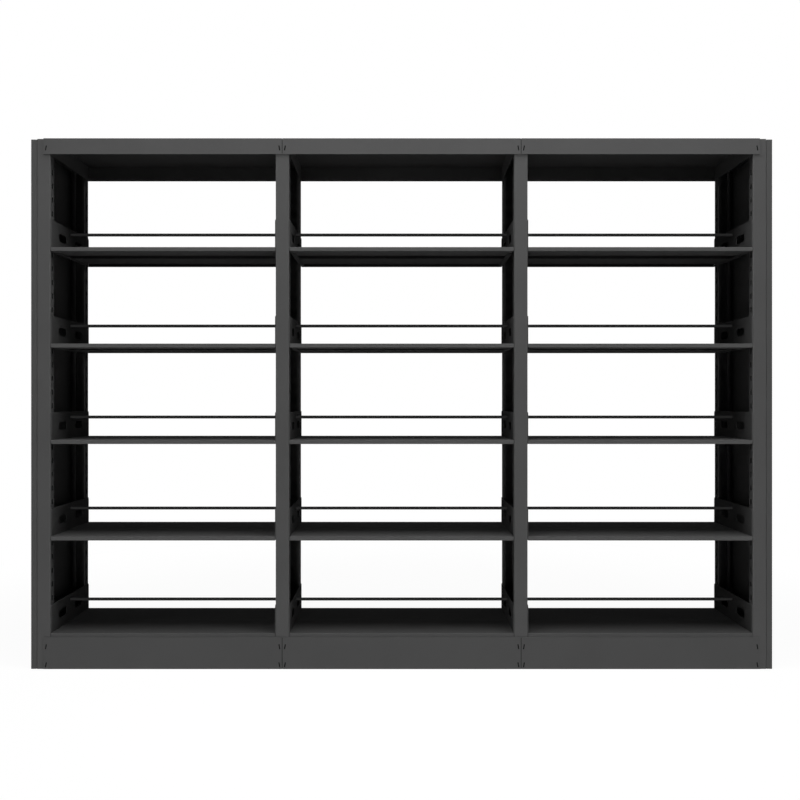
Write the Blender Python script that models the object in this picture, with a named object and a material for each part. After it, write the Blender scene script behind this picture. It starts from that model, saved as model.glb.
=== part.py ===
"""Double-faced steel library rack: bays of hook-on shelves between slotted columns.

Lengths are in metres. X runs along the rack, Y from its front (-Y) to its rear (+Y) and Z up.
The origin is on the floor, at the middle of the rack.
"""
import math

import bmesh
import bpy
from mathutils import Matrix, Vector

# Layout of the whole rack
BAYS = 3
LEVELS = 5
BAY_PITCH = 0.900
HEIGHT = 2.000
FRAME_DEPTH = 0.440
BASE_DECK_HEIGHT = 0.135

# Sheet metal and fits
SHEET = 0.0012
SEAT_GAP = 0.0003
PANEL_JOINT = 0.001

# Slotted columns
COLUMN_WIDTH = 0.050
COLUMN_DEPTH = 0.042
COLUMN_WALL = 0.0018
COLUMN_LIP = 0.012
FOOT_PLATE = 0.003
FOOT_INSET = 0.0004
SLOTS_PER_LEVEL = 7
SLOT_HEIGHT = 0.020
SLOT_WIDTH = 0.010
LOWEST_SLOT_ABOVE_DECK = 0.025

# Top panels and base skirts stand proud of the columns and hang on slanted tongues
PANEL_PROUD = 0.005
TOP_LIP = 0.060
SKIRT_FLOOR_GAP = 0.001
TONGUE_LENGTH = 0.0164
TONGUE_WIDTH = 0.0034
TONGUE_LEAN = math.radians(10.0)
TONGUE_FROM_JOINT = 0.0105
TONGUE_TIP_RECESS = 0.0004
TOP_TONGUE_BELOW_TOP = 0.037
SKIRT_TONGUE_HEIGHTS = (0.017, 0.085)

# End panels
END_PANEL_THICKNESS = 0.022
END_PANEL_BELOW_TOP = 0.0035
END_PANEL_FLANGE = 0.030

# Shelf boards, two to a level
BOARD_LIP = 0.015
BOARD_FRONT_RETURN = 0.118
BOARD_REAR_RETURN = 0.020
BOARD_SETBACK = 0.0005
BOARD_SEAM = 0.002
BOARD_END_GAP = 0.0008

# Hook-on brackets with their stop rod
BRACKET_SHEET = 0.002
BRACKET_COLUMN_GAP = 0.0005
BRACKET_SETBACK = 0.002
BRACKET_ABOVE_DECK = 0.105
BRACKET_CORNER = 0.010
BRACKET_FLANGE = 0.018
HOLE_LENGTH = 0.087
HOLE_HEIGHT = 0.030
HOLE_SPACING = 0.184
HOLE_ABOVE_DECK = 0.051
HOLE_ARC_STEPS = 4
HOOK_SIDE_GAP = 0.001
HOOK_WALL_GAP = 0.0004
HOOK_DROP = 0.0115
ROD_DIAMETER = 0.011
ROD_ABOVE_DECK = 0.083
ROD_SIDES = 10

# Worked out from the sizes above
LEVEL_PITCH = (HEIGHT - TOP_LIP + BOARD_LIP - BASE_DECK_HEIGHT) / LEVELS
SLOT_PITCH = LEVEL_PITCH / SLOTS_PER_LEVEL
SLOT_COUNT = LEVELS * SLOTS_PER_LEVEL - 1
LOWEST_SLOT = BASE_DECK_HEIGHT + LOWEST_SLOT_ABOVE_DECK
COLUMN_HEIGHT = HEIGHT - SHEET - SEAT_GAP
COLUMN_FACE = FRAME_DEPTH / 2
PANEL_FACE = COLUMN_FACE + PANEL_PROUD
PANEL_LENGTH = BAY_PITCH - PANEL_JOINT
HALF_CLEAR = (BAY_PITCH - COLUMN_WIDTH) / 2
BRACKET_OUTER = HALF_CLEAR - BRACKET_COLUMN_GAP
BRACKET_INNER = BRACKET_OUTER - BRACKET_SHEET
FLANGE_TOP = -BOARD_LIP - SEAT_GAP
FLANGE_UNDERSIDE = FLANGE_TOP - BRACKET_SHEET
BOARD_LENGTH = 2 * (BRACKET_INNER - BOARD_END_GAP)
BOARD_DEPTH = COLUMN_FACE - BOARD_SETBACK - BOARD_SEAM / 2
SLIT_LENGTH = TONGUE_LENGTH + 2 * SEAT_GAP
SLIT_WIDTH = TONGUE_WIDTH + 2 * SEAT_GAP


def clear_scene():
    """Remove what the file opened with."""
    for thing in list(bpy.data.objects):
        bpy.data.objects.remove(thing)


def paint(name, grey, roughness):
    """Return a charcoal powder coat of the given grey."""
    coat = bpy.data.materials.new(name)
    coat.use_nodes = True
    shader = coat.node_tree.nodes["Principled BSDF"]
    shader.inputs["Base Color"].default_value = (grey, grey, grey, 1.0)
    shader.inputs["Roughness"].default_value = roughness
    shader.inputs["Metallic"].default_value = 0.0
    return coat


def mesh_of(name, bm):
    """Turn closed shells in a bmesh into a mesh with its faces pointing out."""
    bmesh.ops.recalc_face_normals(bm, faces=bm.faces)
    mesh = bpy.data.meshes.new(name)
    bm.to_mesh(mesh)
    bm.free()
    return mesh


def add_box(bm, low, high):
    """Add a box between two corners."""
    size = Vector(high) - Vector(low)
    middle = (Vector(high) + Vector(low)) / 2
    bmesh.ops.create_cube(bm, size=1.0, matrix=Matrix.Translation(middle) @ Matrix.Diagonal(size).to_4x4())


def add_prism(bm, outline, axis, start, end):
    """Add an outline extruded along X or Y. Its points are (Y, Z) along X and (X, Z) along Y."""
    corners = []
    for across, height in outline:
        place = (start, across, height) if axis == "X" else (across, start, height)
        corners.append(bm.verts.new(place))
    face = bm.faces.new(corners)
    grown = bmesh.ops.extrude_face_region(bm, geom=[face])
    moved = [item for item in grown["geom"] if isinstance(item, bmesh.types.BMVert)]
    reach = end - start
    step = (reach, 0, 0) if axis == "X" else (0, reach, 0)
    bmesh.ops.translate(bm, verts=moved, vec=step)


def evaluated(name, base, add_modifiers):
    """Return a mesh with the modifiers that add_modifiers puts on an object of it."""
    body = bpy.data.objects.new(name, base)
    bpy.context.scene.collection.objects.link(body)
    helpers = add_modifiers(body)
    graph = bpy.context.evaluated_depsgraph_get()
    shape = bpy.data.meshes.new_from_object(body.evaluated_get(graph))
    for thing in [body] + helpers:
        bpy.data.objects.remove(thing)
    shape.name = name
    return shape


def combined(name, base, steps):
    """Return base after each (operation, tool mesh) step, as a union or a difference."""
    def add_booleans(body):
        helpers = []
        for operation, tool in steps:
            helper = bpy.data.objects.new(tool.name, tool)
            helper.hide_render = True
            helper.display_type = "WIRE"
            bpy.context.scene.collection.objects.link(helper)
            step = body.modifiers.new(tool.name, "BOOLEAN")
            step.operation = operation
            step.solver = "EXACT"
            step.object = helper
            helpers.append(helper)
        return helpers
    return evaluated(name, base, add_booleans)


def slot_heights():
    """Return the bottom and top of each slot above the floor, lowest first."""
    middles = [LOWEST_SLOT + SLOT_PITCH * number for number in range(SLOT_COUNT)]
    return [(middle - SLOT_HEIGHT / 2, middle + SLOT_HEIGHT / 2) for middle in middles]


def slanted_outline(joint, side, height, length, width):
    """Return a slanted slit or tongue beside a panel joint, its top leaning away from the joint."""
    lean = Matrix.Rotation(-side * TONGUE_LEAN, 2)
    middle = Vector((joint + side * TONGUE_FROM_JOINT, height))
    corners = ((-1, -1), (1, -1), (1, 1), (-1, 1))
    return [middle + lean @ Vector((x * width / 2, z * length / 2)) for x, z in corners]


def tongue_heights():
    """Return the heights of the tongues on a column's face."""
    return SKIRT_TONGUE_HEIGHTS + (HEIGHT - TOP_TONGUE_BELOW_TOP,)


def column_skin(slotted_sides):
    """Return the outer skin of a column: its face at Y = 0, side walls and return lips, slots left open."""
    bm = bmesh.new()
    low = FOOT_PLATE - FOOT_INSET
    half = COLUMN_WIDTH / 2
    slot_front = (COLUMN_DEPTH - SLOT_WIDTH) / 2
    slot_rear = (COLUMN_DEPTH + SLOT_WIDTH) / 2
    edges = [low] + [z for slot in slot_heights() for z in slot] + [COLUMN_HEIGHT]

    def face(points):
        bm.faces.new([bm.verts.new(point) for point in points])

    def strip(x, near, far):
        face([(x, near, low), (x, far, low), (x, far, COLUMN_HEIGHT), (x, near, COLUMN_HEIGHT)])

    face([(-half, 0, low), (half, 0, low), (half, 0, COLUMN_HEIGHT), (-half, 0, COLUMN_HEIGHT)])
    for side in (-1, 1):
        x = side * half
        lip = side * (half - COLUMN_LIP)
        face([(x, COLUMN_DEPTH, low), (lip, COLUMN_DEPTH, low),
              (lip, COLUMN_DEPTH, COLUMN_HEIGHT), (x, COLUMN_DEPTH, COLUMN_HEIGHT)])
        if side not in slotted_sides:
            strip(x, 0, COLUMN_DEPTH)
            continue
        for outer, inner in ((0, slot_front), (COLUMN_DEPTH, slot_rear)):
            run = [(x, inner, z) for z in edges]
            face([(x, outer, low)] + run + [(x, outer, COLUMN_HEIGHT)])
        for bottom, top in zip(edges[0::2], edges[1::2]):
            face([(x, slot_front, bottom), (x, slot_rear, bottom), (x, slot_rear, top), (x, slot_front, top)])
    bmesh.ops.remove_doubles(bm, verts=bm.verts, dist=0.00001)
    middle = Vector((0, COLUMN_DEPTH / 2, 0))
    for skin_face in bm.faces:
        skin_face.normal_update()
        outward = skin_face.calc_center_bounds() - middle
        outward.z = 0
        if skin_face.normal.dot(outward) < 0:
            skin_face.normal_flip()
    skin = bpy.data.meshes.new("column_skin")
    bm.to_mesh(skin)
    bm.free()
    return skin


def column_mesh(name, slotted_sides):
    """Return a slotted column: folded channel, foot plate, and tongues beside each bay it carries."""
    def thicken(body):
        wall = body.modifiers.new("wall", "SOLIDIFY")
        wall.thickness = COLUMN_WALL
        wall.offset = -1.0
        wall.use_even_offset = True
        return []
    channel = evaluated(name + "_channel", column_skin(slotted_sides), thicken)
    half = COLUMN_WIDTH / 2 - FOOT_INSET
    foot = bmesh.new()
    add_box(foot, (-half, FOOT_INSET, 0), (half, COLUMN_DEPTH - FOOT_INSET, FOOT_PLATE))
    tongues = bmesh.new()
    for side in slotted_sides:
        for height in tongue_heights():
            outline = slanted_outline(0, side, height, TONGUE_LENGTH, TONGUE_WIDTH)
            add_prism(tongues, outline, "Y", TONGUE_TIP_RECESS - PANEL_PROUD, COLUMN_WALL / 2)
    steps = [("UNION", mesh_of("foot", foot)), ("UNION", mesh_of("tongues", tongues))]
    return combined(name, channel, steps)


def panel_slits(heights, near, far):
    """Return cutters for the slits at both ends of a panel that is centred on its bay."""
    bm = bmesh.new()
    for side in (-1, 1):
        joint = side * BAY_PITCH / 2
        for height in heights:
            outline = slanted_outline(joint, -side, height, SLIT_LENGTH, SLIT_WIDTH)
            add_prism(bm, outline, "Y", near, far)
    return mesh_of("slits", bm)


def top_panel_mesh():
    """Return a top panel: a folded tray, open below, with an end flange inside each pair of columns."""
    bm = bmesh.new()
    inside = PANEL_FACE - SHEET
    lip = HEIGHT - TOP_LIP
    deck = HEIGHT - SHEET
    outline = [(-PANEL_FACE, lip), (-PANEL_FACE, HEIGHT), (PANEL_FACE, HEIGHT), (PANEL_FACE, lip),
               (inside, lip), (inside, deck), (-inside, deck), (-inside, lip)]
    add_prism(bm, outline, "X", -PANEL_LENGTH / 2, PANEL_LENGTH / 2)
    flanges = bmesh.new()
    reach = COLUMN_FACE - BRACKET_SETBACK
    outer = HALF_CLEAR - SEAT_GAP
    for side in (-1, 1):
        ends = sorted((side * outer, side * (outer - SHEET)))
        add_box(flanges, (ends[0], -reach, lip), (ends[1], reach, HEIGHT - SHEET / 2))
    slit = (HEIGHT - TOP_TONGUE_BELOW_TOP,)
    through = PANEL_PROUD / 2
    steps = [("UNION", mesh_of("flanges", flanges)),
             ("DIFFERENCE", panel_slits(slit, -PANEL_FACE - through, -COLUMN_FACE - SHEET)),
             ("DIFFERENCE", panel_slits(slit, COLUMN_FACE + SHEET, PANEL_FACE + through))]
    return combined("top_panel", mesh_of("tray", bm), steps)


def board_outline(front, top):
    """Return a board's section: deck, two lips and their bottom returns, open along the underside."""
    rear = front + BOARD_DEPTH
    bottom = top - BOARD_LIP
    shelf = bottom + SHEET
    return [(front, top), (rear, top), (rear, bottom), (rear - BOARD_REAR_RETURN, bottom),
            (rear - BOARD_REAR_RETURN, shelf), (rear - SHEET, shelf), (rear - SHEET, top - SHEET),
            (front + SHEET, top - SHEET), (front + SHEET, shelf), (front + BOARD_FRONT_RETURN, shelf),
            (front + BOARD_FRONT_RETURN, bottom), (front, bottom)]


def board_mesh():
    """Return a shelf board with its front top edge at the object's origin."""
    bm = bmesh.new()
    add_prism(bm, board_outline(0, 0), "X", -BOARD_LENGTH / 2, BOARD_LENGTH / 2)
    return mesh_of("shelf_board", bm)


def base_mesh():
    """Return a front base: the bottom board, a step under its lip and the skirt down to the floor."""
    bm = bmesh.new()
    front = -COLUMN_FACE + BOARD_SETBACK
    lip = BASE_DECK_HEIGHT - BOARD_LIP
    add_prism(bm, board_outline(front, BASE_DECK_HEIGHT), "X", -BOARD_LENGTH / 2, BOARD_LENGTH / 2)
    skirt = bmesh.new()
    skirt_top = lip + SHEET
    inside = -PANEL_FACE + SHEET
    add_box(skirt, (-PANEL_LENGTH / 2, -PANEL_FACE, SKIRT_FLOOR_GAP), (PANEL_LENGTH / 2, inside, skirt_top))
    step = bmesh.new()
    half = BOARD_LENGTH / 2 - SHEET
    add_box(step, (-half, inside - SHEET / 2, lip), (half, front + SHEET, skirt_top))
    steps = [("UNION", mesh_of("skirt", skirt)), ("UNION", mesh_of("step", step)),
             ("DIFFERENCE", panel_slits(SKIRT_TONGUE_HEIGHTS, -PANEL_FACE - PANEL_PROUD / 2, -COLUMN_FACE - SHEET))]
    return combined("base", mesh_of("base_board", bm), steps)


def end_panel_mesh():
    """Return a left end panel: a folded tray with a flange all round its open inner side, at X = 0."""
    height = HEIGHT - END_PANEL_BELOW_TOP
    skin = bmesh.new()
    add_box(skin, (-END_PANEL_THICKNESS, -COLUMN_FACE, 0), (0, COLUMN_FACE, height))
    hollow = bmesh.new()
    reach = COLUMN_FACE - SHEET
    add_box(hollow, (SHEET - END_PANEL_THICKNESS, -reach, SHEET), (-SHEET, reach, height - SHEET))
    mouth = bmesh.new()
    edge = COLUMN_FACE - END_PANEL_FLANGE
    add_box(mouth, (-2 * SHEET, -edge, END_PANEL_FLANGE), (SHEET, edge, height - END_PANEL_FLANGE))
    steps = [("DIFFERENCE", mesh_of("hollow", hollow)), ("DIFFERENCE", mesh_of("mouth", mouth))]
    return combined("end_panel", mesh_of("end_skin", skin), steps)


def obround(middle, height):
    """Return a hole's outline in (Y, Z): two straight sides and two round ends."""
    radius = HOLE_HEIGHT / 2
    straight = HOLE_LENGTH / 2 - radius
    outline = []
    for end, start_angle in ((1, -math.pi / 2), (-1, math.pi / 2)):
        for step in range(HOLE_ARC_STEPS + 1):
            angle = start_angle + math.pi * step / HOLE_ARC_STEPS
            across = middle + end * straight + radius * math.cos(angle)
            outline.append((across, height + radius * math.sin(angle)))
    return outline


def hook_outline(side, slot_bottom):
    """Return a hook's section in (X, Z): a neck through the column's slot and a tip behind its wall."""
    root = BRACKET_OUTER - BRACKET_SHEET / 2
    tip = HALF_CLEAR + COLUMN_WALL + HOOK_WALL_GAP
    neck_bottom = slot_bottom + SEAT_GAP
    neck_top = neck_bottom + BRACKET_SHEET
    tip_bottom = slot_bottom - HOOK_DROP
    outline = [(root, neck_top), (root, neck_bottom), (tip, neck_bottom), (tip, tip_bottom),
               (tip + BRACKET_SHEET, tip_bottom), (tip + BRACKET_SHEET, neck_top)]
    return [(side * x, z) for x, z in outline]


def bracket_mesh():
    """Return a bay's left and right bracket, joined by the stop rod, with the deck's top at Z = 0."""
    plates = bmesh.new()
    openings = bmesh.new()
    hooks = bmesh.new()
    reach = COLUMN_FACE - BRACKET_SETBACK
    slot_line = COLUMN_FACE - COLUMN_DEPTH / 2
    hook_half = SLOT_WIDTH / 2 - HOOK_SIDE_GAP
    top = BRACKET_ABOVE_DECK
    for side in (-1, 1):
        inner = side * BRACKET_INNER
        outer = side * BRACKET_OUTER
        edge = side * (BRACKET_INNER - BRACKET_FLANGE)
        section = [(outer, top), (outer, FLANGE_UNDERSIDE), (edge, FLANGE_UNDERSIDE),
                   (edge, FLANGE_TOP), (inner, FLANGE_TOP), (inner, top)]
        add_prism(plates, section, "Y", -reach, reach)
        near, far = sorted((inner - side * BRACKET_SHEET, outer + side * BRACKET_SHEET))
        for end in (-1, 1):
            add_prism(openings, obround(end * HOLE_SPACING / 2, HOLE_ABOVE_DECK), "X", near, far)
            spare = BRACKET_CORNER
            corner = [(end * (reach - spare), top), (end * reach, top - spare),
                      (end * (reach + spare), top), (end * reach, top + spare)]
            add_prism(openings, corner, "X", near, far)
            for row in (0, 1):
                slot_bottom = LOWEST_SLOT_ABOVE_DECK + row * SLOT_PITCH - SLOT_HEIGHT / 2
                outline = hook_outline(side, slot_bottom)
                add_prism(hooks, outline, "Y", end * slot_line - hook_half, end * slot_line + hook_half)
    rod = bmesh.new()
    rod_length = 2 * BRACKET_INNER + BRACKET_SHEET
    turn = Matrix.Translation((0, 0, ROD_ABOVE_DECK)) @ Matrix.Rotation(math.pi / 2, 4, "Y")
    bmesh.ops.create_cone(rod, cap_ends=True, segments=ROD_SIDES, radius1=ROD_DIAMETER / 2,
                          radius2=ROD_DIAMETER / 2, depth=rod_length, matrix=turn)
    steps = [("DIFFERENCE", mesh_of("openings", openings)), ("UNION", mesh_of("hooks", hooks)),
             ("UNION", mesh_of("rod", rod))]
    shape = combined("bracket_pair", mesh_of("plates", plates), steps)
    shape.shade_smooth()
    shape.set_sharp_from_angle(angle=math.radians(40))
    return shape


def place(name, mesh, coat, location, parent, half_turn=False):
    """Put a named piece of the rack in the scene."""
    if not mesh.materials:
        mesh.materials.append(coat)
    piece = bpy.data.objects.new(name, mesh)
    piece.location = location
    if half_turn:
        piece.rotation_euler = (0, 0, math.pi)
    piece.parent = parent
    bpy.context.scene.collection.objects.link(piece)


def build_columns(rack, coat):
    """Place a front and a rear column on each frame line. A rear one is a front one turned round."""
    left_end = column_mesh("left_end_column", (1,))
    right_end = column_mesh("right_end_column", (-1,))
    between = column_mesh("middle_column", (-1, 1))
    for frame in range(BAYS + 1):
        x = (frame - BAYS / 2) * BAY_PITCH
        front = left_end if frame == 0 else right_end if frame == BAYS else between
        rear = right_end if frame == 0 else left_end if frame == BAYS else between
        place(f"front_column_{frame + 1}", front, coat, (x, -COLUMN_FACE, 0), rack)
        place(f"rear_column_{frame + 1}", rear, coat, (x, COLUMN_FACE, 0), rack, half_turn=True)


def build_end_panels(rack, coat):
    """Close both ends of the rack."""
    shape = end_panel_mesh()
    x = BAYS * BAY_PITCH / 2 + COLUMN_WIDTH / 2 + SEAT_GAP
    place("end_panel_left", shape, coat, (-x, 0, 0), rack)
    place("end_panel_right", shape, coat, (x, 0, 0), rack, half_turn=True)


def build_bay(rack, bay, shapes, coats):
    """Place a bay's top panel, bases, brackets and shelf boards."""
    x = (bay - (BAYS - 1) / 2) * BAY_PITCH
    name = f"bay{bay + 1}"
    place(f"top_panel_{name}", shapes["top"], coats["top"], (x, 0, 0), rack)
    place(f"front_base_{name}", shapes["base"], coats["base"], (x, 0, 0), rack)
    place(f"rear_base_{name}", shapes["base"], coats["base"], (x, 0, 0), rack, half_turn=True)
    for level in range(LEVELS):
        deck = BASE_DECK_HEIGHT + level * LEVEL_PITCH
        spot = f"{name}_level{level + 1}"
        place(f"brackets_{spot}", shapes["bracket"], coats["bracket"], (x, 0, deck), rack)
        if level == 0:
            continue
        front = BOARD_SETBACK - COLUMN_FACE
        place(f"front_shelf_{spot}", shapes["board"], coats["board"], (x, front, deck), rack)
        place(f"rear_shelf_{spot}", shapes["board"], coats["board"], (x, BOARD_SEAM / 2, deck), rack)


def build_rack():
    """Build the rack from its parts."""
    clear_scene()
    rack = bpy.data.objects.new("rack", None)
    bpy.context.scene.collection.objects.link(rack)
    build_columns(rack, paint("column_paint", 0.075, 0.50))
    build_end_panels(rack, paint("end_panel_paint", 0.070, 0.50))
    shapes = {"top": top_panel_mesh(), "base": base_mesh(), "bracket": bracket_mesh(), "board": board_mesh()}
    coats = {"top": paint("top_panel_paint", 0.080, 0.48), "base": paint("base_paint", 0.070, 0.50),
             "bracket": paint("bracket_paint", 0.065, 0.50), "board": paint("shelf_paint", 0.075, 0.48)}
    for bay in range(BAYS):
        build_bay(rack, bay, shapes, coats)


build_rack()
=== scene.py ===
"""Looks of a double-faced steel library rack: folded and punched sheet under a charcoal powder coat.

Lengths are in metres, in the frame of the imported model: X runs along the rack, Y from its front to its rear
and Z up, with the origin on the floor at the middle of the rack. Most pieces start as a line or a set of
points and grow into sheet metal in a node tree. The end panels are folded from a plate instead.
"""
import math

import bmesh
import bpy
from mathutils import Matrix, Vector


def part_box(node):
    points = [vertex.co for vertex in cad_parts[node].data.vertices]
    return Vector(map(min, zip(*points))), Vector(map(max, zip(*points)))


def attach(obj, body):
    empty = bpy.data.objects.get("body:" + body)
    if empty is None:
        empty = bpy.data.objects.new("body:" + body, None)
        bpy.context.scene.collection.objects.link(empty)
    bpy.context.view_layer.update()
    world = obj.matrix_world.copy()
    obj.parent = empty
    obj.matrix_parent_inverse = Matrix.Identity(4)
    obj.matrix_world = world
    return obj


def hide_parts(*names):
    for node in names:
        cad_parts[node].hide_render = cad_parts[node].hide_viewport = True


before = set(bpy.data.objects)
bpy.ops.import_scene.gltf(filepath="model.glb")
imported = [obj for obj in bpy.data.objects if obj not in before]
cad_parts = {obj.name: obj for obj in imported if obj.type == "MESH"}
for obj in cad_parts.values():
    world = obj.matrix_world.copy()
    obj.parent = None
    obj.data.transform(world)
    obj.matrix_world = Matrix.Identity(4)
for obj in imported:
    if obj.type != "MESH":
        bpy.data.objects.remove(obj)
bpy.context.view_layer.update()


def nodes_named(word):
    """Return the frame's nodes whose names hold a word."""
    return [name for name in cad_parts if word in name]


def middle(node):
    """Return the middle of a node's box."""
    low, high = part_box(node)
    return (low + high) / 2


# Places and main sizes, read from the frame
BAYS = len(nodes_named("top_panel_bay"))
LEVELS = len(nodes_named("brackets_bay1_level"))
BAY_PITCH = middle("top_panel_bay2").x - middle("top_panel_bay1").x
FIRST_BAY = middle("top_panel_bay1").x
FIRST_FRAME = FIRST_BAY - BAY_PITCH / 2
COLUMN_LOW, COLUMN_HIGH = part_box("front_column_1")
COLUMN_WIDTH = COLUMN_HIGH.x - COLUMN_LOW.x
COLUMN_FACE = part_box("end_panel_left")[1].y
COLUMN_DEPTH = COLUMN_FACE + COLUMN_HIGH.y
PANEL_LOW, PANEL_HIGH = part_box("top_panel_bay1")
PANEL_FACE = PANEL_HIGH.y
PANEL_LENGTH = PANEL_HIGH.x - PANEL_LOW.x
TOP_LIP_BOTTOM = PANEL_LOW.z
RACK_TOP = PANEL_HIGH.z
BOARD_LOW, BOARD_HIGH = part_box("front_shelf_bay1_level2")
BOARD_LENGTH = BOARD_HIGH.x - BOARD_LOW.x
BOARD_DEPTH = BOARD_HIGH.y - BOARD_LOW.y
BOARD_LIP = BOARD_HIGH.z - BOARD_LOW.z
SKIRT_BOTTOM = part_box("front_base_bay1")[0].z
BASE_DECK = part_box("front_base_bay1")[1].z
LEVEL_PITCH = BOARD_HIGH.z - BASE_DECK
HALF_CLEAR = (BAY_PITCH - COLUMN_WIDTH) / 2

# Sheet gauges, folds, cut edges, and the gap that stands for touching faces
SHEET = 0.0012
COLUMN_WALL = 0.0012
BRACKET_SHEET = 0.0020
SHEET_BEND = 0.0011
COLUMN_BEND = 0.0022
BRACKET_BEND = 0.0020
BEND_STEPS = 6
CUT_EDGE = 0.0004
CUT_EDGE_STEPS = 1
RIM_EASE = 0.0002
SHARP_TURN = math.radians(50.0)
SEAT_GAP = 0.0003

# Slotted columns, each between a foot plate and a like plate as its cap
FOOT_PLATE = 0.003
FOOT_INSET = 0.0004
FOOT_CORNER = 0.002
FOOT_CORNER_STEPS = 4
COLUMN_LIP = 0.012
SLOTS_PER_LEVEL = 7
SLOT_COUNT = LEVELS * SLOTS_PER_LEVEL - 1
SLOT_PITCH = LEVEL_PITCH / SLOTS_PER_LEVEL
SLOT_ABOVE_DECK = 0.025
SLOT_BEHIND_FACE = 0.0222
SLOT_WIDTH = 0.0125
SLOT_HEIGHT = 0.020
SLOT_CORNER = 0.002
SLOT_CORNER_STEPS = 3

# Slanted slits at the ends of top panels and skirts, with the tongues behind them and near-black plates
# behind each panel end, both near black as painted shade in the slits and joints
SLIT_LENGTH = 0.0190
SLIT_WIDTH = 0.0044
SLIT_CORNER = 0.0012
SLIT_CORNER_STEPS = 2
SLIT_LEAN = math.radians(10.0)
SLIT_FROM_JOINT = 0.0105
TOP_SLIT_BELOW_TOP = 0.037
TOP_SLIT_HEIGHT = RACK_TOP - TOP_SLIT_BELOW_TOP
TOP_SLIT_REACH = 3 * PANEL_FACE
SKIRT_SLIT_HEIGHTS = (0.017, 0.085)
SKIRT_SLIT_REACH = 20 * SHEET
TONGUE_RECESS = 0.0012
SHADE_PLATE_WIDTH = 0.0160
SHADE_PLATE_SHEET = 0.0015
SHADE_PLATE_MARGIN = 0.0030

# Joints between neighbouring panels, and the strips that close the top ones from below
JOINT_EASE = 0.0005
PANEL_RUN = PANEL_LENGTH - 2 * JOINT_EASE
STRIP_WIDTH = 0.0480
STRIP_SHEET = 0.0012
STRIP_LENGTH = 2 * (COLUMN_FACE - COLUMN_DEPTH - SEAT_GAP)

# Shelf boards and skirts
BOARD_FIT = 0.0005
BOARD_RUN = BOARD_LENGTH + 2 * BOARD_FIT
FRONT_RETURN = 0.118
REAR_RETURN = 0.020
SKIRT_TOP = BASE_DECK - BOARD_LIP + SHEET
NOTCH_WIDTH = BAY_PITCH - BOARD_LENGTH
NOTCH_REACH = 4 * SHEET

# End panels
END_FLANGE = 0.030
END_BEND = 0.0016
FOLD_LEAST_TURN = math.radians(60.0)

# Brackets and their flanges
BRACKET_SETBACK = 0.0005
BRACKET_REACH = COLUMN_FACE - BRACKET_SETBACK
BRACKET_COLUMN_GAP = 0.0005
BRACKET_OUTER = HALF_CLEAR - BRACKET_COLUMN_GAP
BRACKET_MIDDLE = BRACKET_OUTER - BRACKET_SHEET / 2
BRACKET_ABOVE_DECK = 0.105
BRACKET_CORNER = 0.010
BRACKET_CORNER_STEPS = 8
TRIM = 2 * BRACKET_SHEET
OUTLINE_HEIGHT = 4 * BRACKET_ABOVE_DECK
OUTLINE_REACH = 2 * BAY_PITCH
FLANGE_WIDTH = 0.018
FLANGE_MIDDLE = -BOARD_LIP - SEAT_GAP - BRACKET_SHEET / 2
FLANGE_EDGE = BRACKET_OUTER - BRACKET_SHEET - FLANGE_WIDTH
FLANGE_CUT_BACK = 0.060
FLANGE_CUT_WIDTH = 4 * FLANGE_WIDTH
FLANGE_CUT_HEIGHT = 2 * BOARD_LIP
FLANGE_CUT_TOP = BRACKET_SHEET - BOARD_LIP

# Long holes in the brackets
HOLE_LENGTH = 0.087
HOLE_HEIGHT = 0.030
HOLE_SPACING = 0.184
HOLE_ABOVE_DECK = 0.051
HOLE_CORNER_STEPS = 10
HOLE_REACH = BAY_PITCH / 2

# Hooks of the brackets, and the stop rods between them
HOOK_WIDTH = 0.008
HOOK_DROP = 0.0115
HOOK_BEND = 0.0016
HOOK_WALL_GAP = 0.0004
ROD_RADIUS = 0.0060
ROD_SIDES = 28
ROD_ABOVE_DECK = 0.083

# Turns that lay a form drawn along Z along another axis, and the half turn to the rack's other face
ALONG_X = (math.pi / 2, 0, math.pi / 2)
ALONG_Y = (math.pi / 2, 0, 0)
HALF_TURN = (0, 0, math.pi)
FACES = (-1, 1)

# Powder coat: one paint in copies whose greys differ by piece as painted light and shade, two near-black
# copies as painted shade, and the noises that give it clouding, speckle and orange peel
LIT_AND_SHADED_GREYS = {"column_powder_coat": 0.080, "cleat_black_paint": 0.010, "top_panel_powder_coat": 0.080,
         "base_powder_coat": 0.074, "bracket_powder_coat": 0.070, "rod_black_paint": 0.036,
         "shelf_powder_coat": 0.084, "end_panel_powder_coat": 0.073}
COAT_SPECULAR = 0.005
COAT_ROUGHNESS = 0.94
ROUGHNESS_SHIFT = 0.03
CLOUD_SCALE = 5.0
CLOUD_DETAIL = 3.0
CLOUD_RANGE = (0.3, 0.7)
CLOUD_SHIFT = 0.03
SPECKLE_SCALE = 1400.0
SPECKLE_DETAIL = 2.0
SPECKLE_RANGE = (0.25, 0.75)
SPECKLE_SHIFT = 0.06
PEEL_SCALE = 420.0
PEEL_DETAIL = 3.0
PEEL_STRENGTH = 0.35
PEEL_HEIGHT = 0.00006

# Stage
CAMERA_PLACE = (-0.0062, -3.820, 1.0141)
CAMERA_LENS = 42.970
CAMERA_SENSOR = 36.0
WHITE = (1, 1, 1, 1)
WORLD_LIGHT = 0.03
FLOOR_REACH = 40.0
FLOOR_SHADE = (0.08, 0.08, 0.08, 1)
FLOOR_GLOW = 0.955
FLOOR_BOUNCE = (0.9, 0.9, 0.9, 1)
SHADOW_FADES_FROM = 1.6
SHADOW_FADES_TO = 3.2
EVEN_LIGHT_SPREAD = math.radians(2.0)
SIDE_LIGHT_OUT = 4.53


# Helpers for node trees

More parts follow.
